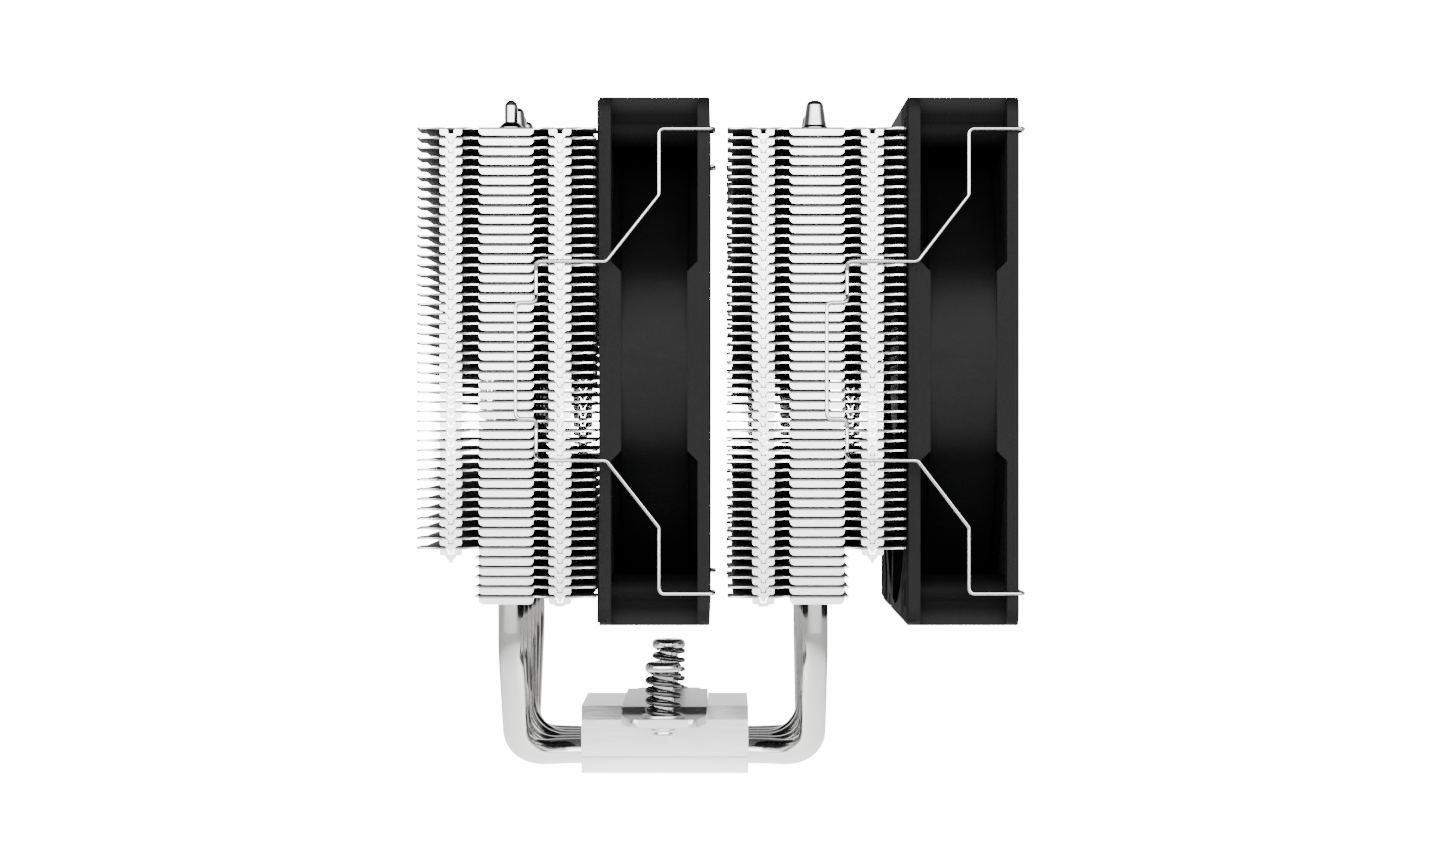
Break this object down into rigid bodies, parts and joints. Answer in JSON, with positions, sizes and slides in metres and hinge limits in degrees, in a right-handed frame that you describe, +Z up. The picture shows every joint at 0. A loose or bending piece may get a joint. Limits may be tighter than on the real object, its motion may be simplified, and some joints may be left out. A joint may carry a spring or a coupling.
{
  "type": "cpu tower cooler",
  "caption": "Dual-tower processor cooler: U-shaped heat pipes carry heat from a flat base into stacks of sheet fins, cooled by clipped-on axial fans.",
  "frame": {"origin": "middle of the cold plate's contact face", "axes": "+Z up along the heat pipes, away from the processor; X along the airflow, with the fans' intake side at +X; Y along the fins and the crossbar"},
  "size_m": [0.1373, 0.1294, 0.1577],
  "materials": {
    "base_nickel": "satin nickel plate",
    "bar_nickel": "nickel plate",
    "pipe_nickel": "bright nickel plate",
    "fin_aluminium": "rolled sheet, bright",
    "screw_steel": "black nickel",
    "spring_steel": "black nickel",
    "clip_wire": "bright drawn wire",
    "frame_plastic": "fine spark-eroded grain",
    "blade_plastic": "smooth satin",
    "pad_rubber": "matte",
    "yoke_steel": "drawn",
    "magnet_ferrite": "bonded ferrite, matte",
    "shaft_steel": "ground",
    "retainer_nylon": "natural nylon",
    "sleeve_bronze": "sintered",
    "stator_steel": "laminated",
    "winding_copper": "enamelled copper",
    "board_green": "solder mask",
    "label_paper": "blank, satin"
  },
  "bodies": {
    "heatsink": {"cold_plate": "base_nickel", "base_block": "base_nickel", "heat_pipe_1": "pipe_nickel", "heat_pipe_2": "pipe_nickel", "heat_pipe_3": "pipe_nickel", "heat_pipe_4": "pipe_nickel", "heat_pipe_5": "pipe_nickel", "heat_pipe_6": "pipe_nickel", "fin_stack_left": "fin_aluminium", "fin_stack_right": "fin_aluminium", "crossbar": "bar_nickel", "crossbar_screw_near": "screw_steel", "seat_washer_near": "bar_nickel", "screw_spring_near": "spring_steel", "crossbar_screw_far": "screw_steel", "seat_washer_far": "bar_nickel", "screw_spring_far": "spring_steel"},
    "screw_carrier_near": {"screw_e_clip_near": "screw_steel"},
    "screw_near": {"spring_screw_near": "screw_steel"},
    "screw_carrier_far": {"screw_e_clip_far": "screw_steel"},
    "screw_far": {"spring_screw_far": "screw_steel"},
    "middle_fan": {"middle_fan_frame": "frame_plastic", "middle_fan_rubber_pads": "pad_rubber", "middle_fan_bearing_sleeve": "sleeve_bronze", "middle_fan_stator_core": "stator_steel", "middle_fan_windings": "winding_copper", "middle_fan_circuit_board": "board_green", "middle_fan_hub_label": "label_paper"},
    "middle_rotor": {"middle_fan_impeller": "blade_plastic", "middle_fan_rotor_yoke": "yoke_steel", "middle_fan_magnet_ring": "magnet_ferrite", "middle_fan_shaft": "shaft_steel", "middle_fan_shaft_retainer": "retainer_nylon"},
    "middle_clip_near": {"middle_fan_clip_near": "clip_wire"},
    "middle_clip_far": {"middle_fan_clip_far": "clip_wire"},
    "outer_fan": {"outer_fan_frame": "frame_plastic", "outer_fan_rubber_pads": "pad_rubber", "outer_fan_bearing_sleeve": "sleeve_bronze", "outer_fan_stator_core": "stator_steel", "outer_fan_windings": "winding_copper", "outer_fan_circuit_board": "board_green", "outer_fan_hub_label": "label_paper"},
    "outer_rotor": {"outer_fan_impeller": "blade_plastic", "outer_fan_rotor_yoke": "yoke_steel", "outer_fan_magnet_ring": "magnet_ferrite", "outer_fan_shaft": "shaft_steel", "outer_fan_shaft_retainer": "retainer_nylon"},
    "outer_clip_near": {"outer_fan_clip_near": "clip_wire"},
    "outer_clip_far": {"outer_fan_clip_far": "clip_wire"}
  },
  "joints": [
    {"name": "screw_press_near", "type": "slide", "parent": "heatsink", "child": "screw_carrier_near", "axis": [0, 0, 1], "range_m": [-0.004, 0], "stiffness_N_per_m": 3000, "springref_m": 0.002, "deforming": ["screw_spring_near"]},
    {"name": "screw_turn_near", "type": "hinge", "parent": "screw_carrier_near", "child": "screw_near", "pos_m": [0, -0.041, 0.02], "axis": [0, 0, 1], "continuous": true},
    {"name": "screw_press_far", "type": "slide", "parent": "heatsink", "child": "screw_carrier_far", "axis": [0, 0, 1], "range_m": [-0.004, 0], "stiffness_N_per_m": 3000, "springref_m": 0.002, "deforming": ["screw_spring_far"]},
    {"name": "screw_turn_far", "type": "hinge", "parent": "screw_carrier_far", "child": "screw_far", "pos_m": [0, 0.041, 0.02], "axis": [0, 0, 1], "continuous": true},
    {"name": "middle_fan_height", "type": "slide", "parent": "heatsink", "child": "middle_fan", "axis": [0, 0, 1], "range_m": [-0.005, 0.015]},
    {"name": "middle_rotor_spin", "type": "hinge", "parent": "middle_fan", "child": "middle_rotor", "pos_m": [-0.00175, 0, 0.0974], "axis": [1, 0, 0], "continuous": true},
    {"name": "middle_clip_swing_near", "type": "hinge", "parent": "middle_fan", "child": "middle_clip_near", "pos_m": [0.00975, -0.0525, 0.0974], "axis": [0, 0, 1], "range_deg": [0, 18]},
    {"name": "middle_clip_swing_far", "type": "hinge", "parent": "middle_fan", "child": "middle_clip_far", "pos_m": [0.00975, 0.0525, 0.0974], "axis": [0, 0, -1], "range_deg": [0, 18]},
    {"name": "outer_fan_height", "type": "slide", "parent": "heatsink", "child": "outer_fan", "axis": [0, 0, 1], "range_m": [-0.005, 0.015]},
    {"name": "outer_rotor_spin", "type": "hinge", "parent": "outer_fan", "child": "outer_rotor", "pos_m": [0.06825, 0, 0.0974], "axis": [1, 0, 0], "continuous": true},
    {"name": "outer_clip_swing_near", "type": "hinge", "parent": "outer_fan", "child": "outer_clip_near", "pos_m": [0.07975, -0.0525, 0.0974], "axis": [0, 0, 1], "range_deg": [0, 35]},
    {"name": "outer_clip_swing_far", "type": "hinge", "parent": "outer_fan", "child": "outer_clip_far", "pos_m": [0.07975, 0.0525, 0.0974], "axis": [0, 0, -1], "range_deg": [0, 35]}
  ]
}
